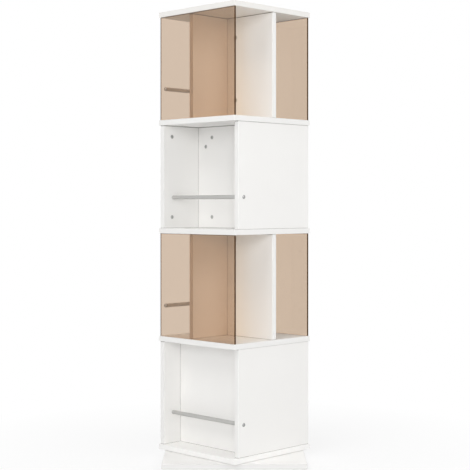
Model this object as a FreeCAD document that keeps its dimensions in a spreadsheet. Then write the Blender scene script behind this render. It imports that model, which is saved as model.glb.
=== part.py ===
"""Rotating display cabinet: four open tiers on a ball-bearing turntable.

Sizes are millimetres. The tower's axis is Z, the floor is Z = 0. The tower's
sides lie along X and Y; the base plate is turned 45 degrees under it, as the
cabinet stands in the photo.
"""
import FreeCAD
import Part
import Sketcher
import os

doc = FreeCAD.newDocument("rotating_display_cabinet")
sheet = doc.addObject("Spreadsheet::Sheet", "sizes")

driving_sizes = {
    # boards
    "shelf_side": 330,
    "board": 16,
    "tier_clear": 317,
    "overhang": 3.5,
    "edge_round": 1,
    "end_inset": 20,
    # where the upright boards stand, from the shelf's edges
    "low_alcove": 72,
    "high_alcove": 149,
    "display_depth": 193.4,
    "divider_setback": 165,
    # acrylic sheets in their grooves
    "acrylic": 6,
    "groove_depth": 4,
    "groove_gap": 0.2,
    # base plate and glides
    "base_side": 425,
    "base_thick": 16,
    "glide_dia": 30,
    "glide_high": 3,
    "glide_inset": 34,
    "base_turn_angle": 45,
    # turntable
    "turn_gap": 1,
    "recess_depth": 7,
    "recess_gap": 5,
    "ball_circle": 204,
    "ball_dia": 5,
    "ball_count": 24,
    "race_thick": 3.2,
    "race_rim": 13,
    "race_screw_inset": 14,
    "race_lip": 8,
    "run_gap": 0.3,
    "cage_thick": 1,
    "cage_width": 14,
    "race_screw_count": 6,
    "race_screw_head": 8,
    "race_screw_shank": 4,
    "race_screw_grip": 7,
    # rails and their screws
    "rail_dia": 12,
    "rail_wall": 1.5,
    "rail_rise": 95,
    "rail_setback": 42,
    "acrylic_rail_setback": 26,
    "plug_long": 18,
    "rail_screw_head": 12,
    "rail_screw_head_high": 2.4,
    "rail_screw_head_round": 1.6,
    "rail_screw_shank": 4,
    "rail_screw_grip": 12,
    # cam joints
    "cam_dia": 12,
    "cam_deep": 12,
    "cam_reach": 34,
    "cam_step": 62,
    "bolt_dia": 6,
    "bolt_neck": 3.6,
    "bolt_head": 4,
    "bolt_grip": 10,
    "fit_gap": 0.1,
    # wood dowels that line the boards up beside the cams
    "dowel_dia": 8,
    "dowel_grip": 7.5,
    "dowel_reach": 22,
    "dowel_step": 40,
    "dowel_bevel": 1,
}
for row, (alias, number) in enumerate(driving_sizes.items(), start=1):
    sheet.set(f"A{row}", alias)
    sheet.set(f"B{row}", str(number))
    sheet.setAlias(f"B{row}", alias)
doc.recompute()

# Levels and planes that several pieces share, as expressions on the sheet.
half = "(sizes.shelf_side / 2)"
skin = f"({half} - sizes.overhang)"
inner = f"({skin} - sizes.board)"
short_end = f"({half} - sizes.end_inset)"
base_top = "(sizes.glide_high + sizes.base_thick)"
recess_floor = f"({base_top} - sizes.recess_depth)"
tower_low = f"({base_top} + sizes.turn_gap)"
race_gap = "(sizes.recess_depth + sizes.turn_gap - 2 * sizes.race_thick)"
ball_level = f"({recess_floor} + sizes.race_thick + {race_gap} / 2)"
groove_radius = "(sizes.ball_dia / 2 + sizes.run_gap)"
race_outer = "(sizes.ball_circle / 2 + sizes.race_rim)"
race_screw_line = "(sizes.ball_circle / 2 - sizes.race_screw_inset)"
race_inner = f"({race_screw_line} - sizes.race_lip)"
bore = "sizes.{} + 2 * sizes.fit_gap"

# A cam bolt's lengths from the face of the board it is screwed into: shank, neck and head.
cam_rim = "(sizes.cam_reach - sizes.cam_dia / 2 - sizes.fit_gap)"
neck_end = "(sizes.cam_reach - sizes.bolt_head / 2)"
head_end = "(sizes.cam_reach + sizes.bolt_head / 2)"
bolt_lengths = [
    ("(-sizes.bolt_grip)", cam_rim, "sizes.bolt_dia"),
    (cam_rim, neck_end, "sizes.bolt_neck"),
    (neck_end, head_end, "sizes.bolt_dia"),
]


def shelf_level(number):
    """Underside of a square board, counted from the bottom panel as 0."""
    return f"({tower_low} + {number} * (sizes.board + sizes.tier_clear))"


def floor_level(tier):
    """Top of the board that a tier stands on, for tiers 1 to 4."""
    return f"({shelf_level(tier - 1)} + sizes.board)"


def value(text):
    """Number that an expression on the sheet gives now."""
    return float(sheet.evalExpression(str(text)))


def new_body(name, level="0", turn="0"):
    """Body with its own label and placement; its pieces may lie apart."""
    body = doc.addObject("PartDesign::Body", name)
    body.Label = name
    body.AllowCompound = True
    body.setExpression("Placement.Base.z", level)
    body.setExpression("Placement.Rotation.Angle", f"{turn} * 1 deg")
    return body


def origin_part(body, role):
    """Origin plane or axis of a body by its role."""
    return next(item for item in body.Origin.OriginFeatures if item.Role == role)


def new_sketch(body, plane, offset="0"):
    """Empty sketch on an origin plane, moved along the plane's normal."""
    sketch = body.newObject("Sketcher::SketchObject", f"{body.Name}_outline")
    sketch.AttachmentSupport = [(origin_part(body, plane), "")]
    sketch.MapMode = "FlatFace"
    sketch.setExpression("AttachmentOffset.Base.z", offset)
    return sketch


def bind(sketch, dimensions):
    """Dimensions that follow expressions on the sheet."""
    constraints = [Sketcher.Constraint(kind, *where, value(text)) for kind, where, text in dimensions]
    numbers = sketch.addConstraint(constraints)
    for number, (kind, where, text) in zip(numbers, dimensions):
        sketch.setExpression(f"Constraints[{number}]", text)


def pin(geometry, corner, x, y):
    """Dimensions that hold one point of a sketch at two expressions from the origin."""
    where = (-1, 1, geometry, corner)
    return [("DistanceX", where, x), ("DistanceY", where, y)]


def polygon(sketch, points):
    """Closed outline of straight lines; each corner follows the sheet."""
    spots = [FreeCAD.Vector(value(x), value(y), 0) for x, y in points]
    lines = [Part.LineSegment(spots[step - 1], spot) for step, spot in enumerate(spots)]
    first = sketch.addGeometry(lines)[0]
    count = len(points)
    sketch.addConstraint([
        Sketcher.Constraint("Coincident", first + step, 2, first + (step + 1) % count, 1)
        for step in range(count)
    ])
    bind(sketch, [held for step, point in enumerate(points) for held in pin(first + step, 2, *point)])


def rectangle(sketch, low_x, high_x, low_y, high_y):
    """Upright rectangle between four expressions."""
    polygon(sketch, [(low_x, low_y), (high_x, low_y), (high_x, high_y), (low_x, high_y)])


def circles(sketch, points, diameter):
    """Circles of one diameter on points given as expressions."""
    upward = FreeCAD.Vector(0, 0, 1)
    for x, y in points:
        spot = FreeCAD.Vector(value(x), value(y), 0)
        number = sketch.addGeometry(Part.Circle(spot, upward, value(diameter) / 2))
        bind(sketch, [("Diameter", (number,), diameter)] + pin(number, 3, x, y))


def pad(body, sketch, length, backward=False):
    """Solid grown from a sketch along its normal, or against it."""
    feature = body.newObject("PartDesign::Pad", f"{body.Name}_pad")
    feature.Profile = sketch
    feature.setExpression("Length", length)
    feature.Reversed = backward
    sketch.Visibility = False
    doc.recompute()
    return feature


def pocket(body, sketch, depth, forward=False):
    """Cut from a sketch against its normal, or along it; it must remove material."""
    before = body.Shape.Volume
    feature = body.newObject("PartDesign::Pocket", f"{body.Name}_cut")
    feature.Profile = sketch
    feature.setExpression("Length", depth)
    feature.Reversed = forward
    doc.recompute()
    if feature.Shape.Volume > before - 1:
        raise ValueError(f"a cut in {body.Name} removes nothing")
    return feature


def turned(body, sketch, axis, kind):
    """Full turn of a sketch about an axis, as a solid or as a groove."""
    feature = body.newObject(f"PartDesign::{kind}", f"{body.Name}_turned")
    feature.Profile = sketch
    feature.ReferenceAxis = axis
    feature.Angle = 360
    doc.recompute()
    return feature


def ring_pattern(body, feature, count):
    """Copies of a feature spaced evenly about the body's Z axis."""
    pattern = body.newObject("PartDesign::PolarPattern", f"{body.Name}_pattern")
    pattern.Originals = [feature]
    pattern.Axis = (origin_part(body, "Z_Axis"), [""])
    pattern.Angle = 360
    pattern.setExpression("Occurrences", count)
    body.Tip = pattern
    doc.recompute()
    return pattern


def trim_edges(body, wanted, kind, length, size):
    """Fillet or chamfer of one length on the edges of the body's last feature that a test picks."""
    solid = body.Tip
    names = [f"Edge{number}" for number, edge in enumerate(solid.Shape.Edges, start=1) if wanted(edge)]
    if names:
        feature = body.newObject(f"PartDesign::{kind}", f"{body.Name}_{kind.lower()}")
        feature.Base = (solid, names)
        feature.setExpression(length, size)
        doc.recompute()


def round_edges(body, wanted, radius):
    trim_edges(body, wanted, "Fillet", "Radius", radius)


def bevel_edges(body, wanted, width):
    trim_edges(body, wanted, "Chamfer", "Size", width)


def slab(name, level, side, thick, turn="0"):
    """Square board with rounded edges, centred on the axis."""
    body = new_body(name, level, turn)
    sketch = new_sketch(body, "XY_Plane")
    rectangle(sketch, f"-{side} / 2", f"{side} / 2", f"-{side} / 2", f"{side} / 2")
    pad(body, sketch, thick)
    round_edges(body, lambda edge: True, "sizes.edge_round")
    return body


def drill(body, plane, offset, points, diameter, depth, forward=False):
    """Blind holes from a plane."""
    if points:
        sketch = new_sketch(body, plane, offset)
        circles(sketch, points, diameter)
        pocket(body, sketch, depth, forward)


def stubs(body, plane, offset, points, diameter, length, backward=False):
    """Round pins that stand on a plane."""
    if points:
        sketch = new_sketch(body, plane, offset)
        circles(sketch, points, diameter)
        pad(body, sketch, length, backward)


def cam_mouth(along, level, way):
    """T-shaped outline of a cam's mouth: a slot for the bolt's neck, a hollow for its head."""
    out = "sizes.cam_dia"
    neck = "(sizes.bolt_neck / 2 + sizes.fit_gap)"
    wide = "(sizes.bolt_dia / 2 + sizes.fit_gap)"
    deep = "(sizes.bolt_head / 2 + sizes.fit_gap)"
    half_outline = [(out, neck), (deep, neck), (deep, wide), (f"-{deep}", wide)]
    mirrored_half = [(ahead, f"-{aside}") for ahead, aside in reversed(half_outline)]
    step_x, step_y = way
    return [
        (f"{along} + {step_x} * {ahead} - {step_y} * {aside}",
         f"{level} + {step_y} * {ahead} + {step_x} * {aside}")
        for ahead, aside in half_outline + mirrored_half
    ]


class Upright:
    """One upright board of a tier with its cam joints.

    It runs along X or Y from start to end, and its lower face across that
    direction is at low. Cams go in the face that cam_side names: 1 for the
    upper face, -1 for the lower one. posts are the places along the run where
    bolts stand in the boards above and below; ties are levels of bolts that
    lie along the run, entering at start, at end or at both. Two upright wood
    dowels stand one step in from the posts, or from the ends where a board has
    no posts. The free ends, those that butt against no other board, are rounded.
    """

    def __init__(self, name, tier, run, low, start, end, cam_side, posts, ties=(), free=()):
        self.name = name
        self.tier = tier
        self.run = run
        self.low = low
        self.start = start
        self.end = end
        self.cam_side = cam_side
        self.posts = posts
        self.ties = ties
        self.free = free
        first, last = posts or (start, end)
        self.dowels = [f"({first} + sizes.dowel_step)", f"({last} - sizes.dowel_step)"]
        self.middle = f"({low} + sizes.board / 2)"
        self.cam_face = f"({low} + sizes.board)" if cam_side > 0 else low
        # The XZ plane's normal is -Y and the YZ plane's is +X.
        self.face_plane = "XZ_Plane" if run == "X" else "YZ_Plane"
        self.end_plane = "YZ_Plane" if run == "X" else "XZ_Plane"
        self.face_sign = -1 if run == "X" else 1
        self.end_sign = 1 if run == "X" else -1

    def plan(self, along):
        """Point of the middle plane in plan."""
        return (along, self.middle) if self.run == "X" else (self.middle, along)

    def post_points(self):
        return [self.plan(along) for along in self.posts]

    def dowel_points(self):
        return [self.plan(along) for along in self.dowels]

    def cams(self):
        """Cams in the cam face: place along the run, level, and way to the bolt's seat."""
        found = []
        for along in self.posts:
            found.append((along, "sizes.cam_reach", (0, -1)))
            found.append((along, "(sizes.tier_clear - sizes.cam_reach)", (0, 1)))
        for side, level in self.ties:
            if side == "start":
                found.append((f"({self.start} + sizes.cam_reach)", level, (-1, 0)))
            else:
                found.append((f"({self.end} - sizes.cam_reach)", level, (1, 0)))
        return found

    def cam_points(self, floor="0"):
        return [(along, f"({floor} + {level})") for along, level, way in self.cams()]

    def tie_levels(self, wanted):
        return [level for side, level in self.ties if side == wanted]

    def outline(self, sketch):
        far = f"({self.low} + sizes.board)"
        if self.run == "X":
            rectangle(sketch, self.start, self.end, self.low, far)
        else:
            rectangle(sketch, self.low, far, self.start, self.end)

    def ends_free(self, edge):
        """Whether an edge is an upright one at a free end."""
        low, high = edge.Vertexes[0].Point, edge.Vertexes[-1].Point
        along = low.x if self.run == "X" else low.y
        upright = abs(high.z - low.z) > value("sizes.tier_clear") / 2
        return upright and any(abs(along - value(place)) < 0.01 for place in self.free)

    def build(self):
        """The board with its bores for bolts, dowels and cams."""
        body = new_body(self.name, floor_level(self.tier))
        sketch = new_sketch(body, "XY_Plane")
        self.outline(sketch)
        pad(body, sketch, "sizes.tier_clear")
        round_edges(body, self.ends_free, "sizes.edge_round")
        width = bore.format("bolt_dia")
        drill(body, "XY_Plane", "0", self.post_points(), width, "sizes.cam_reach", True)
        drill(body, "XY_Plane", "sizes.tier_clear", self.post_points(), width, "sizes.cam_reach")
        wide = bore.format("dowel_dia")
        deep = "sizes.dowel_reach + sizes.fit_gap"
        drill(body, "XY_Plane", "0", self.dowel_points(), wide, deep, True)
        drill(body, "XY_Plane", "sizes.tier_clear", self.dowel_points(), wide, deep)
        for wanted, place in (("start", self.start), ("end", self.end)):
            points = [(self.middle, level) for level in self.tie_levels(wanted)]
            inward = (wanted == "start") == (self.end_sign > 0)
            offset = f"{self.end_sign} * {place}"
            drill(body, self.end_plane, offset, points, width, "sizes.cam_reach", inward)
        inward = self.cam_side * self.face_sign < 0
        offset = f"{self.face_sign} * {self.cam_face}"
        deep = "sizes.cam_deep + sizes.fit_gap"
        drill(body, self.face_plane, offset, self.cam_points(), bore.format("cam_dia"), deep, inward)
        self.body = body

    def seat_in(self, neighbour, wanted):
        """Holes in the neighbour's face for the bolts that enter at one end."""
        points = [(self.middle, level) for level in self.tie_levels(wanted)]
        place = self.start if wanted == "start" else self.end
        outward = (wanted == "end") == (self.end_sign > 0)
        offset = f"{self.end_sign} * {place}"
        width = bore.format("bolt_dia")
        deep = "sizes.bolt_grip + sizes.fit_gap"
        drill(neighbour.body, self.end_plane, offset, points, width, deep, outward)

    def add_cams(self, body):
        """Cam locks of this board, flush with its face, each with a mouth for its bolt."""
        floor = floor_level(self.tier)
        offset = f"{self.face_sign} * {self.cam_face}"
        outward = self.cam_side * self.face_sign > 0
        stubs(body, self.face_plane, offset, self.cam_points(floor), "sizes.cam_dia",
              "sizes.cam_deep", outward)
        far_end = f"{self.face_sign} * ({self.cam_face} - {self.cam_side} * sizes.cam_deep)"
        sketch = new_sketch(body, self.face_plane, far_end)
        for along, level, way in self.cams():
            polygon(sketch, cam_mouth(along, f"({floor} + {level})", way))
        deep = "sizes.cam_deep - sizes.board / 2 + sizes.bolt_dia / 2 + sizes.fit_gap"
        pocket(body, sketch, deep, outward)

    def add_bolts(self, body):
        """Cam bolts of this board: shank from the seat, neck, and head in the cam."""
        floor = floor_level(self.tier)
        ceiling = f"({floor} + sizes.tier_clear)"
        for first, last, width in bolt_lengths:
            long = f"{last} - {first}"
            points = self.post_points()
            stubs(body, "XY_Plane", f"{floor} + {first}", points, width, long)
            stubs(body, "XY_Plane", f"{ceiling} - {first}", points, width, long, True)
            for wanted, place, step in (("start", self.start, "+"), ("end", self.end, "-")):
                ties = [(self.middle, f"({floor} + {level})") for level in self.tie_levels(wanted)]
                offset = f"{self.end_sign} * ({place} {step} {first})"
                backward = (wanted == "end") == (self.end_sign > 0)
                stubs(body, self.end_plane, offset, ties, width, long, backward)

    def add_dowels(self, body):
        """Wood dowels at the foot and the head of this board."""
        floor = floor_level(self.tier)
        ceiling = f"({floor} + sizes.tier_clear)"
        points = self.dowel_points()
        long = "sizes.dowel_grip + sizes.dowel_reach"
        stubs(body, "XY_Plane", f"{floor} - sizes.dowel_grip", points, "sizes.dowel_dia", long)
        stubs(body, "XY_Plane", f"{ceiling} + sizes.dowel_grip", points, "sizes.dowel_dia", long, True)


def white_tier(tier, alcove, first_post, cam_side, words):
    """Side panels and the panel between them; the alcove opens to -Y."""
    front = f"(-{half} + {alcove})"
    rear = f"({front} + sizes.board)"
    first = first_post or f"({rear} + sizes.cam_reach)"
    mirror = f"(-{skin} + sizes.cam_reach)" if first_post else None
    left = Upright(
        f"tier{tier}_left_panel", tier, "Y", f"-{skin}", f"-{skin}", short_end, 1,
        [first, f"({short_end} - sizes.cam_reach)"], free=(f"-{skin}", short_end))
    right_first = f"(-{short_end} + sizes.cam_reach)" if mirror else first
    right = Upright(
        f"tier{tier}_right_panel", tier, "Y", inner, f"-{short_end}", skin, -1,
        [right_first, f"({skin} - sizes.cam_reach)"], free=(f"-{short_end}", skin))
    high_tie = "(sizes.tier_clear - sizes.cam_step)"
    between = Upright(
        f"tier{tier}_{words}_panel", tier, "X", front, f"-{inner}", inner, cam_side,
        [f"(-{inner} + sizes.cam_step)", f"({inner} - sizes.cam_step)"],
        [("start", high_tie), ("end", high_tie)])
    for upright in (left, right, between):
        upright.build()
    between.seat_in(left, "start")
    between.seat_in(right, "end")
    return [left, right, between]


def acrylic_tier(tier, cam_side):
    """Cross panel and the divider that butts against it, open to +X and -X."""
    near = f"({half} - sizes.display_depth)"
    cross = Upright(
        f"tier{tier}_cross_panel", tier, "Y", f"({near} - sizes.board)",
        f"-{short_end}", short_end, -1,
        [f"(-{short_end} + sizes.cam_reach)", f"({short_end} - sizes.cam_reach)"],
        free=(f"-{short_end}", short_end))
    divider = Upright(
        f"tier{tier}_divider", tier, "X", f"(-{half} + sizes.divider_setback)",
        near, skin, cam_side, [],
        [("start", "sizes.cam_step"), ("start", "(sizes.tier_clear - sizes.cam_step)")],
        free=(skin,))
    for upright in (cross, divider):
        upright.build()
    divider.seat_in(cross, "start")
    return [cross, divider]


uprights = {
    1: white_tier(1, "sizes.low_alcove", None, 1, "back"),
    2: acrylic_tier(2, 1),
    3: white_tier(3, "sizes.high_alcove", f"(-{skin} + sizes.cam_reach)", -1, "middle"),
    4: acrylic_tier(4, -1),
}

# The five square boards.
square_names = ["bottom_panel", "low_shelf", "middle_shelf", "high_shelf", "top_panel"]
squares = [
    slab(name, shelf_level(number), "sizes.shelf_side", "sizes.board")
    for number, name in enumerate(square_names)
]
for tier, boards in uprights.items():
    posts = [point for upright in boards for point in upright.post_points()]
    dowels = [point for upright in boards for point in upright.dowel_points()]
    for points, peg in ((posts, "bolt"), (dowels, "dowel")):
        width = bore.format(f"{peg}_dia")
        hole_deep = f"sizes.{peg}_grip + sizes.fit_gap"
        drill(squares[tier - 1], "XY_Plane", "sizes.board", points, width, hole_deep)
        drill(squares[tier], "XY_Plane", "0", points, width, hole_deep, True)


def acrylic_edges(gap):
    """Limits of the front sheet in plan, widened by a gap on each side."""
    return (
        f"-{skin} - {gap}", f"{skin} + {gap}",
        f"-{skin} - {gap}", f"-{skin} + sizes.acrylic + {gap}")


def mirrored(limits):
    """The same limits at the opposite side of the tower."""
    low_x, high_x, low_y, high_y = limits
    return low_x, high_x, f"-({high_y})", f"-({low_y})"


def acrylic_grooves(body, offset, forward):
    """Grooves for both sheets of a tier in one face of a square board."""
    sketch = new_sketch(body, "XY_Plane", offset)
    limits = acrylic_edges("sizes.groove_gap")
    rectangle(sketch, *limits)
    rectangle(sketch, *mirrored(limits))
    pocket(body, sketch, "sizes.groove_depth", forward)


def acrylic_sheet(name, tier, limits):
    """Sheet that stands in the grooves, with holes for the rail's screws."""
    body = new_body(name, f"{floor_level(tier)} - sizes.groove_depth")
    sketch = new_sketch(body, "XY_Plane")
    rectangle(sketch, *limits)
    pad(body, sketch, "sizes.tier_clear + 2 * sizes.groove_depth - sizes.groove_gap")
    points = [(f"(-{half} + sizes.acrylic_rail_setback)", "(sizes.rail_rise + sizes.groove_depth)")]
    deep = "2 * sizes.acrylic"
    offset = f"-({limits[2]} - sizes.acrylic / 2)"
    drill(body, "XZ_Plane", offset, points, bore.format("rail_screw_shank"), deep)


for tier in (2, 4):
    acrylic_grooves(squares[tier - 1], "sizes.board", False)
    acrylic_grooves(squares[tier], "0", True)
    acrylic_sheet(f"tier{tier}_front_acrylic", tier, acrylic_edges("0"))
    acrylic_sheet(f"tier{tier}_rear_acrylic", tier, mirrored(acrylic_edges("0")))

# Rails: in the white tiers along X between the side panels, in the acrylic
# tiers along Y between the sheets.
rail_plugs = new_body("rail_plugs")
panel_screws = new_body("panel_rail_screws")
acrylic_screws = new_body("acrylic_rail_screws")


def rail(tier, plane, across, reach):
    """Tube across a tier, from one wall at -reach to the other at +reach."""
    body = new_body(f"tier{tier}_rail", f"{floor_level(tier)} + sizes.rail_rise")
    sketch = new_sketch(body, plane, f"-{reach}")
    circles(sketch, [(across, "0")], "sizes.rail_dia")
    circles(sketch, [(across, "0")], "sizes.rail_dia - 2 * sizes.rail_wall")
    pad(body, sketch, f"2 * {reach}")


def rail_ends(tier, plane, across, reach, wall, screws):
    """Plug, and screw through the wall, at both ends of a rail."""
    point = [(across, f"({floor_level(tier)} + sizes.rail_rise)")]
    for sign, backward in ((-1, False), (1, True)):
        sketch = new_sketch(rail_plugs, plane, f"{sign} * {reach}")
        circles(sketch, point, "sizes.rail_dia - 2 * sizes.rail_wall - 2 * sizes.fit_gap")
        circles(sketch, point, bore.format("rail_screw_shank"))
        pad(rail_plugs, sketch, "sizes.plug_long", backward)
        outside = f"{sign} * ({reach} + {wall})"
        long = f"{wall} + sizes.rail_screw_grip"
        stubs(screws, plane, outside, point, "sizes.rail_screw_shank", long, backward)
        head = f"{sign} * ({reach} + {wall})"
        stubs(screws, plane, head, point, "sizes.rail_screw_head", "sizes.rail_screw_head_high",
              not backward)


side_line = f"(-{half} + sizes.rail_setback)"
back_line = f"(-{half} + sizes.acrylic_rail_setback)"
sheet_inner = f"({skin} - sizes.acrylic)"
for tier in (1, 3):
    for panel in uprights[tier][:2]:
        place = f"-{skin} - sizes.board" if panel.cam_side > 0 else f"{inner} - sizes.board"
        drill(panel.body, "YZ_Plane", place, [(side_line, "sizes.rail_rise")],
              bore.format("rail_screw_shank"), "3 * sizes.board", True)
    rail(tier, "YZ_Plane", side_line, inner)
    rail_ends(tier, "YZ_Plane", side_line, inner, "sizes.board", panel_screws)
for tier in (2, 4):
    rail(tier, "XZ_Plane", back_line, sheet_inner)
    rail_ends(tier, "XZ_Plane", back_line, sheet_inner, "sizes.acrylic", acrylic_screws)


def is_round(edge):
    """Whether an edge is a circle."""
    return isinstance(edge.Curve, Part.Circle)


def is_head_rim(edge):
    """Whether an edge is the outer rim of a rail screw's head."""
    if not is_round(edge):
        return False
    middle = edge.Curve.Center
    outside = max(abs(middle.x), abs(middle.y)) > value(f"{skin} + sizes.rail_screw_head_high / 2")
    return outside and abs(edge.Curve.Radius - value("sizes.rail_screw_head") / 2) < 0.01


for screws in (panel_screws, acrylic_screws):
    round_edges(screws, is_head_rim, "sizes.rail_screw_head_round")


def gathered(name, members, level="0"):
    """One piece group of separate solids from several objects."""
    group = doc.addObject("Part::Compound", name)
    group.Label = name
    group.Links = members
    group.setExpression("Placement.Base.z", level)
    return group


tier_cams = []
tier_bolts = []
tier_dowels = []
for tier, boards in uprights.items():
    tier_cams.append(new_body(f"tier{tier}_cams"))
    tier_bolts.append(new_body(f"tier{tier}_bolts"))
    tier_dowels.append(new_body(f"tier{tier}_dowels"))
    for upright in boards:
        upright.add_cams(tier_cams[-1])
        upright.add_bolts(tier_bolts[-1])
        upright.add_dowels(tier_dowels[-1])
    bevel_edges(tier_dowels[-1], is_round, "sizes.dowel_bevel")
groups = [
    gathered("cam_locks", tier_cams),
    gathered("cam_bolts", tier_bolts),
    gathered("wood_dowels", tier_dowels),
]

# Base plate with the round recess that hides the turntable.
base_turn = "sizes.base_turn_angle"
base_plate = slab("base_plate", "sizes.glide_high", "sizes.base_side", "sizes.base_thick", base_turn)
recess_dia = f"2 * ({race_outer} + sizes.recess_gap)"
drill(base_plate, "XY_Plane", "sizes.base_thick", [("0", "0")], recess_dia, "sizes.recess_depth")

glides = new_body("base_glides", "0", base_turn)
corner = "(sizes.base_side / 2 - sizes.glide_inset)"
spots = [(f"{a}{corner}", f"{b}{corner}") for a in ("", "-") for b in ("", "-")]
stubs(glides, "XY_Plane", "0", spots, "sizes.glide_dia", "sizes.glide_high")


def screw_outline(gap, deep, top, sign):
    """Half outline of a countersunk screw, grown by a gap, and its axis line."""
    axis = race_screw_line
    thin = f"{axis} + sizes.race_screw_shank / 2 + {gap}"
    wide = f"{axis} + sizes.race_screw_head / 2 + {gap}"
    drop = "(sizes.race_screw_head - sizes.race_screw_shank) / 2"
    neck = f"{top} - {sign} * {drop}"
    tip = f"{top} - {sign} * ({deep})"
    return [(axis, tip), (thin, tip), (thin, neck), (wide, top), (axis, top)]


def countersunk(body, gap, deep, top, sign, kind):
    """Ring of countersunk screws, or of their holes, about the axis."""
    sketch = new_sketch(body, "XZ_Plane")
    polygon(sketch, screw_outline(gap, deep, top, sign))
    spot = FreeCAD.Vector(value(race_screw_line), 0, 0)
    tall = FreeCAD.Vector(0, value("sizes.race_thick"), 0)
    number = sketch.addGeometry(Part.LineSegment(spot, spot + tall), True)
    low_end = pin(number, 1, race_screw_line, "0")
    high_end = pin(number, 2, race_screw_line, "sizes.race_thick")
    bind(sketch, low_end + high_end)
    feature = turned(body, sketch, (sketch, ["Axis0"]), kind)
    ring_pattern(body, feature, "sizes.race_screw_count")


def race(name, level, turn, ball_height, top, sign):
    """Flat ring with the ball groove and countersunk screw holes."""
    body = new_body(name, level, turn)
    sketch = new_sketch(body, "XZ_Plane")
    rectangle(sketch, race_inner, race_outer, "0", "sizes.race_thick")
    vertical = (origin_part(body, "Z_Axis"), [""])
    turned(body, sketch, vertical, "Revolution")
    sketch = new_sketch(body, "XZ_Plane")
    circles(sketch, [("sizes.ball_circle / 2", ball_height)], f"2 * {groove_radius}")
    turned(body, sketch, vertical, "Groove")
    countersunk(body, "sizes.fit_gap", "sizes.race_thick", top, sign, "Groove")
    return body


screw_long = "sizes.race_thick + sizes.race_screw_grip"
lower_ball = f"sizes.race_thick + {race_gap} / 2"
race("lower_race", recess_floor, base_turn, lower_ball, "sizes.race_thick", 1)
upper_level = f"({tower_low} - sizes.race_thick)"
race("upper_race", upper_level, "0", f"-{race_gap} / 2", "0", -1)
lower_screws = new_body("lower_race_screws", recess_floor, base_turn)
countersunk(lower_screws, "0", screw_long, "sizes.race_thick", 1, "Revolution")
upper_screws = new_body("upper_race_screws", upper_level)
countersunk(upper_screws, "0", screw_long, "0", -1, "Revolution")

pilot = [(race_screw_line, "0")]
for body, plane, forward in ((base_plate, None, False), (squares[0], "0", True)):
    sketch = new_sketch(body, "XY_Plane", plane or "sizes.base_thick - sizes.recess_depth")
    circles(sketch, pilot, bore.format("race_screw_shank"))
    cut = pocket(body, sketch, "sizes.race_screw_grip + sizes.fit_gap", forward)
    ring_pattern(body, cut, "sizes.race_screw_count")

cage = new_body("ball_cage", f"{ball_level} - sizes.cage_thick / 2")
sketch = new_sketch(cage, "XY_Plane")
circles(sketch, [("0", "0")], "sizes.ball_circle + sizes.cage_width")
circles(sketch, [("0", "0")], "sizes.ball_circle - sizes.cage_width")
pad(cage, sketch, "sizes.cage_thick")
sketch = new_sketch(cage, "XY_Plane", "sizes.cage_thick")
circles(sketch, [("sizes.ball_circle / 2", "0")], bore.format("ball_dia"))
ring_pattern(cage, pocket(cage, sketch, "2 * sizes.cage_thick"), "sizes.ball_count")

ball_spheres = []
for number in range(round(value("sizes.ball_count"))):
    ball = doc.addObject("Part::Sphere", f"ball_{number}")
    ball.setExpression("Radius", "sizes.ball_dia / 2")
    turn = f"{number} * 360 / sizes.ball_count * 1 deg"
    ball.setExpression("Placement.Base.x", f"sizes.ball_circle / 2 * cos({turn})")
    ball.setExpression("Placement.Base.y", f"sizes.ball_circle / 2 * sin({turn})")
    ball_spheres.append(ball)
groups.append(gathered("bearing_balls", ball_spheres, ball_level))
doc.recompute()

grouped = [member for group in groups for member in group.Links]
bodies = [item for item in doc.Objects if item.TypeId == "PartDesign::Body"]
pieces = [body for body in bodies if body not in grouped] + groups
for item in doc.Objects:
    if "Invalid" in item.State or "Error" in item.State:
        raise ValueError(f"{item.Label} did not build")
os.makedirs("parts", exist_ok=True)
for piece in pieces:
    if piece.Shape.isNull() or not piece.Shape.isValid():
        raise ValueError(f"{piece.Label} has no valid shape")
    piece.Shape.exportStep(f"parts/{piece.Label}.step")
    print(piece.Label, len(piece.Shape.Solids), round(piece.Shape.Volume))
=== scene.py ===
"""Looks of the rotating display cabinet, in the part's own frame, in metres."""

import math

import bmesh
import bpy
from mathutils import Matrix, Vector


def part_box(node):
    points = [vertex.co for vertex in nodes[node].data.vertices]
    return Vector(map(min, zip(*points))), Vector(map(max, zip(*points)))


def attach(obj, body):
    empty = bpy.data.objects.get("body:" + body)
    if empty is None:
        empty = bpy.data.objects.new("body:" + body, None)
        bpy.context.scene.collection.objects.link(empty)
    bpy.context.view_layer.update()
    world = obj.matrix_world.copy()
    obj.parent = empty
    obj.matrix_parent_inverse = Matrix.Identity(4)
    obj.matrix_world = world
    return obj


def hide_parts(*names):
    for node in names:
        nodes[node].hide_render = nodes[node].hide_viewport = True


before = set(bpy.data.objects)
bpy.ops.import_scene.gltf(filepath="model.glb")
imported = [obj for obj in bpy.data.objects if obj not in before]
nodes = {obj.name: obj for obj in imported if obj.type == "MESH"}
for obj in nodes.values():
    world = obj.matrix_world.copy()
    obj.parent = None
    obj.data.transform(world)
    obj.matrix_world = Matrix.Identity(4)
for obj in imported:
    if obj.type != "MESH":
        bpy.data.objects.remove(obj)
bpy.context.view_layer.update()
MM = 0.001


# Node trees

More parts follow.
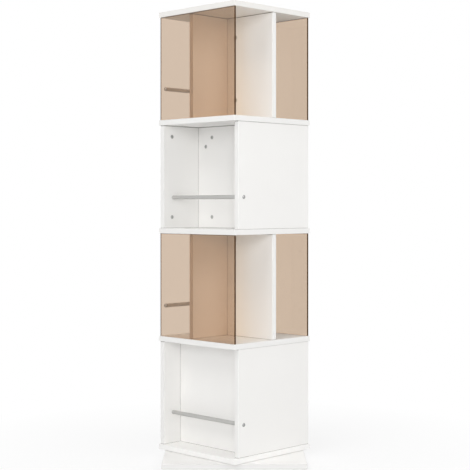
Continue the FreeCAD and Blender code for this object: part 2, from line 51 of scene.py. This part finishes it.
class Wire:
    """One output of a node. Arithmetic on it adds Math nodes to its tree."""

    def __init__(self, tree, socket):
        self.tree = tree
        self.socket = socket

    def also(self, output):
        """Another output of the same node."""
        return Wire(self.tree, self.socket.node.outputs[output])

    def math(self, operation, first, second=0.0):
        return self.tree.add("ShaderNodeMath", {"operation": operation}, {0: first, 1: second})

    def __add__(self, other):
        return self.math("ADD", self, other)

    __radd__ = __add__

    def __sub__(self, other):
        return self.math("SUBTRACT", self, other)

    def __rsub__(self, other):
        return self.math("SUBTRACT", other, self)

    def __mul__(self, other):
        return self.math("MULTIPLY", self, other)

    __rmul__ = __mul__

    def __truediv__(self, other):
        return self.math("DIVIDE", self, other)

    def least(self, other):
        return self.math("MINIMUM", self, other)

    def most(self, other):
        return self.math("MAXIMUM", self, other)

    def size(self):
        return self.math("ABSOLUTE", self)

    def over(self, limit):
        """1 where the value is over a limit, 0 elsewhere."""
        return self.math("GREATER_THAN", self, limit)


class Tree:
    """A node tree and the one way to add nodes to it."""

    def __init__(self, tree):
        self.tree = tree

    def add(self, kind, settings=None, sockets=None, output=0):
        """New node: its settings first, then the values or links of its sockets.

        A tuple of wires puts several links on one socket.
        """
        node = self.tree.nodes.new(kind)
        for key, value in (settings or {}).items():
            setattr(node, key, value)
        for key, value in (sockets or {}).items():
            several = isinstance(value, tuple) and isinstance(value[0], Wire)
            for item in value if several else (value,):
                if isinstance(item, Wire):
                    self.tree.links.new(item.socket, node.inputs[key])
                else:
                    node.inputs[key].default_value = item
        return Wire(self, node.outputs[output]) if node.outputs else None


class Finish(Tree):
    """A material in the making."""

    def __init__(self, name):
        self.material = bpy.data.materials.new(name)
        self.material.use_nodes = True
        super().__init__(self.material.node_tree)
        self.tree.nodes.clear()
        self.place = self.add("ShaderNodeTexCoord", output="Object")

    def axes(self, place=None):
        """X, Y and Z of a place, as the outputs of one node."""
        return self.add("ShaderNodeSeparateXYZ", {}, {0: place or self.place})

    def length(self, vector):
        """Length of a vector, as a value."""
        return self.add("ShaderNodeVectorMath", {"operation": "LENGTH"}, {0: vector}, "Value")

    def blend(self, share, low, high):
        """Colour between two, each a wire or its red, green and blue."""
        low, high = [end if isinstance(end, Wire) else (*end, 1) for end in (low, high)]
        # A Mix node has sockets for each type; those of colours are inputs 6 and 7 and output 2.
        return self.add("ShaderNodeMix", {"data_type": "RGBA"}, {0: share, 6: low, 7: high}, 2)

    def either(self, share, first, second):
        """Shader between two shaders."""
        return self.add("ShaderNodeMixShader", {}, {0: share, 1: first, 2: second})

    def noise(self, scale, detail, place=None):
        sockets = {"Vector": place or self.place, "Scale": scale, "Detail": detail}
        return self.add("ShaderNodeTexNoise", {}, sockets, "Fac")

    def grain(self, scales, detail):
        """Noise with a scale for each axis, for lines that run one way."""
        place = self.add("ShaderNodeMapping", {}, {"Vector": self.place, "Scale": scales})
        return self.noise(1, detail, place)

    def bump(self, height, depth):
        """Normal that follows a height from 0 to 1 over a real depth."""
        return self.add("ShaderNodeBump", {}, {"Height": height, "Distance": depth}, "Normal")

    def surface(self, **sockets):
        """Principled shader; a socket's name is given with underscores."""
        named = {key.replace("_", " "): value for key, value in sockets.items()}
        return self.add("ShaderNodeBsdfPrincipled", {}, named)

    def show(self, shader):
        """The material, complete with its shader."""
        self.add("ShaderNodeOutputMaterial", {}, {"Surface": shader})
        return self.material


def dress(material, *dressed):
    """Puts a finish on CAD nodes."""
    for node in dressed:
        for slot in nodes[node].material_slots:
            slot.material = material


# Boards

BOARD_ENDS = ("panel", "shelf", "divider", "plate")
boards = {node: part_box(node) for node in nodes if node.endswith(BOARD_ENDS)}
wall_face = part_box("tier1_right_panel")[1][0]

# Points nearer than this to a face count as lying on it.
FACE_MARGIN = 0.2 * MM

# Lines on the boards, painted shade at joints and under shelves among them: how far from a board's end they
# reach or lie, and half the width of a seam.
JOINT_SHADE_REACH = 1.7 * MM
SHELF_SHADE = 4 * MM
BAND_DEPTH = 0.7 * MM
SEAM_INSET = 1.2 * MM
SEAM_HALF = 0.25 * MM

DIM_WHITE = (0.845, 0.836, 0.818)
BRIGHT_WHITE = (0.87, 0.862, 0.846)
BAND_WHITE = (0.86, 0.853, 0.8385)
SEAM_GREY = (0.62, 0.6, 0.57)
# The grey of the painted shade at the boards' joints.
JOINT_SHADE_GREY = (0.2, 0.19, 0.175)

# The tone of a board's bands and the shade of its white. On a few boards these are painted light and shade:
# the base plate and the bottom panel are lighter, with the base plate's bands darker;
# the top panel is darker and warmer as painted shade for its underside; the cross panels are warmer as
# painted light through the acrylic.
PLAIN_WHITE = (0.97, (1.0, 1.0, 1.0))
WARM_LIT_WHITE = (0.924, (1.05, 1.0, 0.95))
PAINTED_LIGHT_WHITES = {
    "base_plate": (0.755, (1.1, 1.1, 1.1)),
    "bottom_panel": (0.955, (1.1, 1.1, 1.1)),
    "top_panel": (1.02, (0.93, 0.92, 0.905)),
    "tier2_cross_panel": WARM_LIT_WHITE,
    "tier4_cross_panel": WARM_LIT_WHITE,
}
BASE_TURN = math.radians(45)


def inside(point, box):
    return all(low < part < high for low, part, high in zip(box[0], point, box[1]))


def meets_board(node, axis, side):
    """Whether a board's end butts against another board."""
    low, high = boards[node]
    beyond = [(bottom + top) / 2 for bottom, top in zip(low, high)]
    beyond[axis] = (high if side > 0 else low)[axis] + side * MM
    return any(inside(beyond, box) for box in boards.values())


def board_lines(finish, node, turn):
    """Masks of the painted shade at a board's joints, of its bands and of their seams."""
    spin = Matrix.Rotation(-turn, 3, "Z")
    corners = list(zip(*(spin @ vertex.co for vertex in nodes[node].data.vertices)))
    low = [min(parts) for parts in corners]
    high = [max(parts) for parts in corners]
    spans = [top - bottom for bottom, top in zip(low, high)]
    thin = spans.index(min(spans))
    square = finish.add("ShaderNodeMapping", {}, {"Vector": finish.place, "Rotation": (0, 0, -turn)})
    axes = finish.axes(square)
    within = 1 - axes.also("X").size().over(wall_face - FACE_MARGIN)
    joint_shade = finish.add("ShaderNodeValue")
    band = finish.add("ShaderNodeValue")
    seam = finish.add("ShaderNodeValue")
    for axis in range(3):
        for side in (-1, 1):
            if axis == thin:
                continue
            along = axes.also(axis)
            inset = high[axis] - along if side > 0 else along - low[axis]
            if meets_board(node, axis, side):
                # Painted shade along an end that butts against another board.
                line = 1 - inset / JOINT_SHADE_REACH
                if axis == 2 and side > 0:
                    # Painted shade: a shelf above shades a wider strip, though not on the walls' outer
                    # faces.
                    line = line + within * (1 - inset / SHELF_SHADE)
                joint_shade = joint_shade.most(line)
            else:
                band = band.most(1 - inset.over(BAND_DEPTH))
                seam = seam.most(1 - (inset - SEAM_INSET).size() / SEAM_HALF)
    return joint_shade, band, seam


def scaled(colour, scales):
    return [part * scale for part, scale in zip(colour, scales)]


def laminate(node, turn, band_tone_and_shade, shade):
    """White board: satin laminate, edge bands on its free ends, shaded hairlines at its joints.

    The turn is the angle at which the board lies in the frame. The shade scales the red, green and
    blue of its white, and the band's tone scales the bands once more; on a few boards both are painted
    light or shade. The hairlines at its joints and a wider strip under a shelf are painted shade.
    """
    finish = Finish(f"white_laminate_{node}")
    joint_shade, band, seam = board_lines(finish, node, turn)
    cloud = finish.noise(scale=9, detail=3)
    grain = finish.noise(scale=1400, detail=2)
    # The shade puts painted light or shade on the white of a few boards.
    white = finish.blend(cloud, scaled(DIM_WHITE, shade), scaled(BRIGHT_WHITE, shade))
    # On a few boards the band's tone also holds painted light or shade, darker on the base plate's front.
    tape = scaled(BAND_WHITE, [band_tone_and_shade * part for part in shade])
    banded = finish.blend(band, white, tape)
    lined = finish.blend(0.35 * seam, banded, SEAM_GREY)
    # The painted shade at the joints goes over the board's colour.
    colour = finish.blend(joint_shade, lined, JOINT_SHADE_GREY)
    rough = 0.4 + 0.12 * grain + 0.15 * seam
    normal = finish.bump(grain - 1.5 * seam, 0.03 * MM)
    return finish.show(finish.surface(Base_Color=colour, Roughness=rough, Normal=normal))


for board in boards:
    turn = BASE_TURN if board == "base_plate" else 0.0
    dress(laminate(board, turn, *PAINTED_LIGHT_WHITES.get(board, PLAIN_WHITE)), board)


# Acrylic sheets

ACRYLIC_IOR = 1.49
# How far down from a sheet's top the painted shade of its groove reaches.
GROOVE_SHADE = 6.5 * MM


def brown_acrylic(node):
    """Clear brown sheet; its cut edges gather the tint and look nearly black."""
    finish = Finish(f"brown_acrylic_{node}")
    low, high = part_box(node)
    axes = finish.axes()
    across = axes.also("Y")
    # What lies away from both broad faces is a cut edge. Towards its groove the top gets painted shade from
    # the shelf above.
    edge = (across - low[1]).least(high[1] - across).over(FACE_MARGIN)
    painted_groove_shade = (1 - (high[2] - axes.also("Z")) / GROOVE_SHADE).most(0)
    haze = finish.noise(scale=14, detail=3)
    clear = finish.surface(
        Base_Color=(0.632, 0.494, 0.38, 1), Roughness=0.02 + 0.03 * haze, IOR=ACRYLIC_IOR,
        Transmission_Weight=1.0)
    saw = finish.grain((60, 2500, 60), detail=2)
    dark = finish.surface(
        Base_Color=finish.blend(saw, (0.06, 0.026, 0.009), (0.09, 0.044, 0.017)),
        Roughness=0.35 + 0.2 * saw, IOR=ACRYLIC_IOR, Specular_IOR_Level=0.03)
    # The cut edges and the painted shade at the top both take the dark surface.
    sheet = finish.either(edge.most(painted_groove_shade), clear, dark)
    # The light of the lamps and that of the room pass through with a tint of their own.
    lamp_light = finish.add("ShaderNodeBsdfTransparent", {}, {"Color": (0.8, 0.67, 0.53, 1)})
    room_light = finish.add("ShaderNodeBsdfTransparent", {}, {"Color": (0.8, 0.74, 0.68, 1)})
    shadow = finish.add("ShaderNodeLightPath", {}, {}, "Is Shadow Ray")
    bounced = shadow.also("Is Diffuse Ray")
    inner = finish.either(bounced, sheet, room_light)
    return finish.show(finish.either(shadow, inner, lamp_light))


for sheet in [node for node in nodes if node.endswith("_acrylic")]:
    dress(brown_acrylic(sheet), sheet)


# Metal, plastic, wood and pads

def brushed_steel(name, grey, grain, rough, metal=1.0):
    """Satin plated steel with fine lines; grain scales the lines axis by axis."""
    finish = Finish(name)
    line = finish.grain(grain, detail=3)
    stain = finish.noise(scale=40, detail=3)
    dull = [0.86 * part for part in grey]
    colour = finish.blend(0.6 * line + 0.4 * stain, dull, grey)
    return finish.show(finish.surface(
        Base_Color=colour, Metallic=metal, Roughness=rough + 0.14 * line,
        Normal=finish.bump(line, 0.01 * MM)))


def turned_steel():
    """Race rings: rolled steel with the round lines of the lathe."""
    finish = Finish("turned_race_steel")
    axes = finish.axes()
    flat = finish.add("ShaderNodeCombineXYZ", {}, {"X": axes.also("X"), "Y": axes.also("Y")})
    radius = finish.length(flat)
    rings = finish.add("ShaderNodeCombineXYZ", {}, {"X": radius * 2200, "Z": axes.also("Z") * 900})
    line = finish.noise(scale=1, detail=2, place=rings)
    colour = finish.blend(line, (0.4, 0.4, 0.41), (0.56, 0.56, 0.57))
    return finish.show(finish.surface(
        Base_Color=colour, Metallic=1.0, Roughness=0.26 + 0.2 * line,
        Normal=finish.bump(line, 0.01 * MM)))


def cast_zinc():
    """Cam locks: die-cast zinc, matt and slightly mottled."""
    finish = Finish("cast_zinc")
    mottle = finish.noise(scale=700, detail=3)
    pit = finish.noise(scale=2600, detail=2)
    colour = finish.blend(mottle, (0.47, 0.47, 0.465), (0.59, 0.59, 0.58))
    return finish.show(finish.surface(
        Base_Color=colour, Metallic=1.0, Roughness=0.42 + 0.2 * pit,
        Normal=finish.bump(pit, 0.02 * MM)))


def polished_steel():
    """Bearing balls: polished steel with faint smears."""
    finish = Finish("polished_ball_steel")
    smear = finish.noise(scale=900, detail=2)
    colour = finish.blend(smear, (0.62, 0.62, 0.64), (0.74, 0.74, 0.76))
    return finish.show(finish.surface(Base_Color=colour, Metallic=1.0, Roughness=0.06 + 0.08 * smear))


def moulded_plastic():
    """Ball cage and rail plugs: dark moulded plastic with a spark-eroded skin."""
    finish = Finish("moulded_plastic")
    skin = finish.noise(scale=3200, detail=2)
    cloud = finish.noise(scale=60, detail=2)
    colour = finish.blend(cloud, (0.035, 0.035, 0.037), (0.055, 0.055, 0.057))
    return finish.show(finish.surface(
        Base_Color=colour, Roughness=0.45 + 0.15 * skin, Normal=finish.bump(skin, 0.03 * MM)))


def turned_beech():
    """Dowels: pale beech with its pores drawn out along the upright dowels."""
    finish = Finish("turned_beech")
    pore = finish.grain((1600, 1600, 90), detail=3)
    cloud = finish.noise(scale=120, detail=2)
    colour = finish.blend(0.6 * pore + 0.4 * cloud, (0.45, 0.29, 0.16), (0.66, 0.48, 0.3))
    return finish.show(finish.surface(
        Base_Color=colour, Roughness=0.6 + 0.15 * pore, Normal=finish.bump(pore, 0.08 * MM)))


def glide_pads():
    """Glides: matt grey pads with a fibrous skin."""
    finish = Finish("matt_pads")
    fibre = finish.noise(scale=1800, detail=4)
    cloud = finish.noise(scale=220, detail=3)
    colour = finish.blend(0.5 * fibre + 0.5 * cloud, (0.1, 0.1, 0.1), (0.22, 0.22, 0.215))
    return finish.show(finish.surface(
        Base_Color=colour, Roughness=0.9, Sheen_Weight=0.3, Normal=finish.bump(fibre, 0.2 * MM)))


SCREW_GRAIN = (900, 900, 900)
rail_along_x = brushed_steel(
    "rail_steel_along_x", (0.52, 0.515, 0.5), grain=(30, 2600, 2600), rough=0.34, metal=0.4)
# The rails along Y lie in shade behind the acrylic; their lighter, non-metallic copy of the steel is
# painted light.
rail_along_y_painted_light = brushed_steel(
    "rail_steel_along_y", (0.7, 0.69, 0.67), grain=(2600, 30, 2600), rough=0.34, metal=0.0)
screw_steel = brushed_steel("plated_screw_steel", (0.42, 0.42, 0.415), SCREW_GRAIN, rough=0.3)
bronze_steel = brushed_steel("bronze_screw_steel", (0.4, 0.32, 0.255), SCREW_GRAIN, rough=0.3)
dress(rail_along_x, "tier1_rail", "tier3_rail")
dress(rail_along_y_painted_light, "tier2_rail", "tier4_rail")
dress(turned_steel(), "lower_race", "upper_race")
dress(screw_steel, "lower_race_screws", "upper_race_screws", "cam_bolts")
dress(polished_steel(), "bearing_balls")
dress(moulded_plastic(), "ball_cage", "rail_plugs")
dress(turned_beech(), "wood_dowels")
dress(glide_pads(), "base_glides")


# Fasteners

# A cam lock: its disc and its mouth as in the CAD, and the driver cross in its face.
CAM_SIZES = {
    "Radius": 6 * MM, "Depth": 12 * MM,
    "Cross long": 7.2 * MM, "Cross wide": 1.5 * MM, "Cross deep": 2.2 * MM,
    "Bolt level": 8 * MM, "Bolt wide": 6.2 * MM, "Neck wide": 3.8 * MM, "Head long": 4.2 * MM,
}
# Distance of a cam from the end of its board.
CAM_REACH = 34 * MM

# A rail screw: its head and its shank as wide as in the CAD, and the socket in its head.
SCREW_SIZES = {
    "Head radius": 6 * MM, "Head high": 2.4 * MM,
    "Socket radius": 2.3 * MM, "Socket deep": 1.7 * MM, "Shank radius": 2 * MM,
}

# How finely the round shapes are cut, and the sides of the socket.
CAM_FACETS = 40
SHANK_FACETS = 16
HEAD_SEGMENTS = 32
HEAD_RINGS = 16
HEXAGON = 6

# Corners of a CAD mesh nearer than this are one corner.
WELD_REACH = 0.001 * MM


class Growth(Tree):
    """Geometry nodes that set one fastener on every point of a mesh."""

    def __init__(self, name, labels):
        group = bpy.data.node_groups.new(name, "GeometryNodeTree")
        super().__init__(group)
        group.interface.new_socket("Seats", in_out="INPUT", socket_type="NodeSocketGeometry")
        self.sockets = {}
        for label in labels:
            socket = group.interface.new_socket(label, in_out="INPUT", socket_type="NodeSocketFloat")
            self.sockets[label] = socket.identifier
        socket = group.interface.new_socket("Finish", in_out="INPUT", socket_type="NodeSocketMaterial")
        self.sockets["Finish"] = socket.identifier
        group.interface.new_socket("Fasteners", in_out="OUTPUT", socket_type="NodeSocketGeometry")
        self.inlet = self.add("NodeGroupInput", output="Seats")
        self.size = {label: self.inlet.also(label) for label in labels}

    def box(self, size_x, size_y, size_z, x=0.0, z=0.0):
        """Block with its sizes and its middle."""
        size = self.add("ShaderNodeCombineXYZ", {}, {0: size_x, 1: size_y, 2: size_z})
        block = self.add("GeometryNodeMeshCube", {}, {"Size": size})
        return self.moved(block, x, z)

    def rod(self, sides, radius, long, z):
        """Round or many-sided bar along Z with its middle at z."""
        bar = self.add("GeometryNodeMeshCylinder", {}, {"Vertices": sides, "Radius": radius, "Depth": long})
        return self.moved(bar, 0.0, z)

    def moved(self, mesh, x, z):
        shift = self.add("ShaderNodeCombineXYZ", {}, {0: x, 2: z})
        return self.add("GeometryNodeTransform", {}, {"Geometry": mesh, "Translation": shift})

    def cut(self, mesh, *tools):
        settings = {"operation": "DIFFERENCE", "solver": "EXACT"}
        return self.add("GeometryNodeMeshBoolean", settings, {"Mesh 1": mesh, "Mesh 2": tools})

    def plant(self, fastener):
        """One fastener on each seat, turned as the seat says."""
        turn = self.add("GeometryNodeInputNamedAttribute", {"data_type": "QUATERNION"}, {"Name": "turn"})
        sockets = {"Points": self.inlet, "Instance": fastener, "Rotation": turn}
        placed = self.add("GeometryNodeInstanceOnPoints", {}, sockets)
        solid = self.add("GeometryNodeRealizeInstances", {}, {0: placed})
        sockets = {"Geometry": solid, "Material": self.inlet.also("Finish")}
        done = self.add("GeometryNodeSetMaterial", {}, sockets)
        self.add("NodeGroupOutput", {}, {0: done})

    def grow(self, name, seats, sizes, material):
        """Plain mesh object of the fasteners on a list of places and turns."""
        mesh = bpy.data.meshes.new(name)
        mesh.from_pydata([place for place, turn in seats], [], [])
        turns = mesh.attributes.new("turn", "QUATERNION", "POINT")
        for number, (place, turn) in enumerate(seats):
            turns.data[number].value = turn
        piece = bpy.data.objects.new(name, mesh)
        bpy.context.scene.collection.objects.link(piece)
        modifier = piece.modifiers.new("fasteners", "NODES")
        modifier.node_group = self.tree
        for label, value in {**sizes, "Finish": material}.items():
            modifier[self.sockets[label]] = value
        shown = piece.evaluated_get(bpy.context.evaluated_depsgraph_get())
        solid = bpy.data.meshes.new_from_object(shown)
        piece.modifiers.clear()
        piece.data = solid
        return piece


def cam_tree():
    """Cam lock: disc with a driver cross in its face and a mouth for the bolt."""
    tree = Growth("cam_lock", CAM_SIZES)
    size = tree.size
    disc = tree.rod(CAM_FACETS, size["Radius"], size["Depth"], size["Depth"] * -0.5)
    bar = tree.box(size["Cross long"], size["Cross wide"], size["Cross deep"] * 2)
    cross = tree.box(size["Cross wide"], size["Cross long"], size["Cross deep"] * 2)
    # The mouth starts above the bolt and runs out through the back of the disc.
    tall = (size["Depth"] - size["Bolt level"]) * 2 + size["Bolt wide"]
    middle = size["Bolt wide"] * 0.5 - size["Bolt level"] - tall * 0.5
    neck = tree.box(size["Radius"] * 2, size["Neck wide"], tall, size["Radius"], middle)
    head = tree.box(size["Head long"], size["Bolt wide"], tall, 0.0, middle)
    tree.plant(tree.cut(disc, bar, cross, neck, head))
    return tree


def screw_tree():
    """Rail screw: domed head with a hexagon socket, and a plain shank."""
    tree = Growth("rail_screw", (*SCREW_SIZES, "Shank long"))
    size = tree.size
    sockets = {"Segments": HEAD_SEGMENTS, "Rings": HEAD_RINGS, "Radius": 1.0}
    ball = tree.add("GeometryNodeMeshUVSphere", {}, sockets)
    squash = tree.add("ShaderNodeCombineXYZ", {},
                      {0: size["Head radius"], 1: size["Head radius"], 2: size["Head high"]})
    dome = tree.add("GeometryNodeTransform", {}, {"Geometry": ball, "Scale": squash})
    wide = size["Head radius"] * 3
    below = tree.box(wide, wide, size["Head high"] * 2, 0.0, size["Head high"] * -1)
    socket = tree.rod(HEXAGON, size["Socket radius"], size["Socket deep"] * 2, size["Head high"])
    head = tree.cut(dome, below, socket)
    shank = tree.rod(SHANK_FACETS, size["Shank radius"], size["Shank long"], size["Shank long"] * -0.5)
    tree.plant(tree.add("GeometryNodeJoinGeometry", {}, {0: (head, shank)}))
    return tree


def solids_of(node):
    """Lowest and highest corner of each separate solid of a CAD node."""
    work = bmesh.new()
    work.from_mesh(nodes[node].data)
    bmesh.ops.remove_doubles(work, verts=work.verts, dist=WELD_REACH)
    left = set(work.verts)
    boxes = []
    while left:
        island = [left.pop()]
        for vertex in island:
            for edge in vertex.link_edges:
                other = edge.other_vert(vertex)
                if other in left:
                    left.remove(other)
                    island.append(other)
        corners = list(zip(*(vertex.co for vertex in island)))
        boxes.append((Vector(map(min, corners)), Vector(map(max, corners))))
    work.free()
    return boxes


def turn_to(outward, forward):
    """Turn that takes Z to outward and X to forward."""
    side = outward.cross(forward)
    return Matrix((forward, side, outward)).transposed().to_quaternion()


def unit(axis, sign):
    """Vector of length 1 up or down an axis."""
    return Vector([sign if number == axis else 0.0 for number in range(3)])


def nearest_end(box, point, axis):
    """Distance from a point to a box's nearer end along an axis, and the way there."""
    down = point[axis] - box[0][axis]
    up = box[1][axis] - point[axis]
    return (down, unit(axis, -1)) if down <= up else (up, unit(axis, 1))


def cam_seats():
    """Place and turn of each cam: flush with its board's face, mouth towards its bolt."""
    uprights = [box for board, box in boards.items() if board.startswith("tier")]
    seats = []
    for low, high in solids_of("cam_locks"):
        centre = (low + high) / 2
        board = next(box for box in uprights if inside(centre, box))
        spans = [board[1][axis] - board[0][axis] for axis in range(3)]
        thin = spans.index(min(spans))
        middle = (board[0][thin] + board[1][thin]) / 2
        side = 1 if centre[thin] > middle else -1
        place = centre.copy()
        place[thin] = board[1][thin] if side > 0 else board[0][thin]
        gap, mouth = nearest_end(board, centre, 2)
        if gap > CAM_REACH + MM:
            # Far from both shelves, so its bolt lies along the board's run, which is X or Y.
            mouth = nearest_end(board, centre, 1 - thin)[1]
        seats.append((place, turn_to(unit(thin, side), mouth)))
    return seats


def screw_seats(node):
    """Place and turn of each rail screw, whose head sits on a wall's outer face."""
    seats = []
    for low, high in solids_of(node):
        centre = (low + high) / 2
        spans = [high[axis] - low[axis] for axis in range(3)]
        axis = spans.index(max(spans))
        side = 1 if centre[axis] > 0 else -1
        place = centre.copy()
        place[axis] = side * wall_face
        seats.append((place, turn_to(unit(axis, side), unit(2, 1))))
    return seats


cams = cam_tree().grow("cam_lock_set", cam_seats(), CAM_SIZES, cast_zinc())
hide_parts("cam_locks")
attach(cams, "tower")

rail_screw = screw_tree()
for name, node, steel in (("panel_screw_set", "panel_rail_screws", screw_steel),
                          ("acrylic_screw_set", "acrylic_rail_screws", bronze_steel)):
    low, high = solids_of(node)[0]
    shank_long = max(high - low) - SCREW_SIZES["Head high"]
    screws = rail_screw.grow(name, screw_seats(node), {**SCREW_SIZES, "Shank long": shank_long}, steel)
    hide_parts(node)
    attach(screws, "tower")


# Studio

WHITE = (1, 1, 1, 1)
SKY_LIGHT = 0.33
FLOOR_REACH = 12.0

# The floor is mostly white to the eye near the object, and wholly white farther out.
NEAR_WHITE = 0.8
FADE_START = 0.35
FADE_LONG = 0.7


def eye_rays(tree):
    """1 on rays that show a thing to the eye: straight, through a clear sheet or off a gloss."""
    path = tree.add("ShaderNodeLightPath", {}, {}, "Is Camera Ray")
    return path.most(path.also("Is Glossy Ray")).most(path.also("Is Transmission Ray"))


def floor_finish():
    """Pale floor with the object's soft shadow, which runs into a white background."""
    finish = Finish("pale_floor")
    speck = finish.noise(scale=60, detail=2)
    colour = finish.blend(speck, (0.86, 0.86, 0.86), (0.9, 0.9, 0.9))
    ground = finish.surface(Base_Color=colour, Roughness=0.8)
    fade = ((finish.length(finish.place) - FADE_START) / FADE_LONG).most(0).least(1)
    glow = finish.add("ShaderNodeEmission", {}, {"Color": WHITE, "Strength": 1.0})
    share = eye_rays(finish) * (NEAR_WHITE + (1 - NEAR_WHITE) * fade)
    return finish.show(finish.either(share, ground, glow))


def floor():
    """Square floor under the object."""
    mesh = bpy.data.meshes.new("floor")
    corners = [(FLOOR_REACH * x, FLOOR_REACH * y, 0) for x, y in ((-1, -1), (1, -1), (1, 1), (-1, 1))]
    mesh.from_pydata(corners, [], [(0, 1, 2, 3)])
    mesh.materials.append(floor_finish())
    ground = bpy.data.objects.new("floor", mesh)
    bpy.context.scene.collection.objects.link(ground)


def sky():
    """White all round: bright to the eye, softer as a lamp."""
    world = bpy.data.worlds.new("studio")
    bpy.context.scene.world = world
    world.use_nodes = True
    tree = Tree(world.node_tree)
    tree.tree.nodes.clear()
    strength = SKY_LIGHT + (1 - SKY_LIGHT) * eye_rays(tree)
    glow = tree.add("ShaderNodeBackground", {}, {"Color": WHITE, "Strength": strength})
    tree.add("ShaderNodeOutputWorld", {}, {"Surface": glow})


def softbox(name, place, aim, side, power):
    """Square soft lamp that faces a point."""
    lamp = bpy.data.lights.new(name, "AREA")
    lamp.size = side
    lamp.energy = power
    box = bpy.data.objects.new(name, lamp)
    box.location = place
    box.rotation_euler = (Vector(aim) - Vector(place)).to_track_quat("-Z", "Y").to_euler()
    box.visible_camera = False
    box.visible_transmission = False
    bpy.context.scene.collection.objects.link(box)


def camera():
    """Level camera at the photo's angle, shifted to its framing."""
    width = 470
    focal_pixels = 1185
    axis_pixel = 234.4
    horizon_pixel = 204.5
    distance = 3.663
    height = 0.775
    lens = bpy.data.cameras.new("camera")
    lens.sensor_width = 36
    lens.lens = lens.sensor_width * focal_pixels / width
    lens.shift_x = (width / 2 - axis_pixel) / width
    lens.shift_y = (horizon_pixel - width / 2) / width
    view = bpy.data.objects.new("camera", lens)
    corner = math.radians(45)
    view.location = (distance * math.sin(corner), -distance * math.cos(corner), height)
    view.rotation_euler = (math.radians(90), 0, corner)
    bpy.context.scene.collection.objects.link(view)
    bpy.context.scene.camera = view


floor()
sky()
softbox("front_softbox", place=(4.2, -4.9, 2.0), aim=(0, 0, 0.6), side=2.6, power=166)
softbox("left_softbox", place=(0.8, -4.6, 6.2), aim=(0, 0, 0.5), side=3.0, power=150)
softbox("right_softbox", place=(5.4, 0.8, 3.6), aim=(0, 0, 0.6), side=2.6, power=88)
softbox("rear_softbox", place=(-2.7, 2.7, 2.8), aim=(0, 0, 0.7), side=2.4, power=36)
softbox("top_softbox", place=(0.5, -0.5, 10.0), aim=(0, 0, 0), side=3.0, power=50)
camera()
bpy.context.scene.view_settings.view_transform = "Standard"
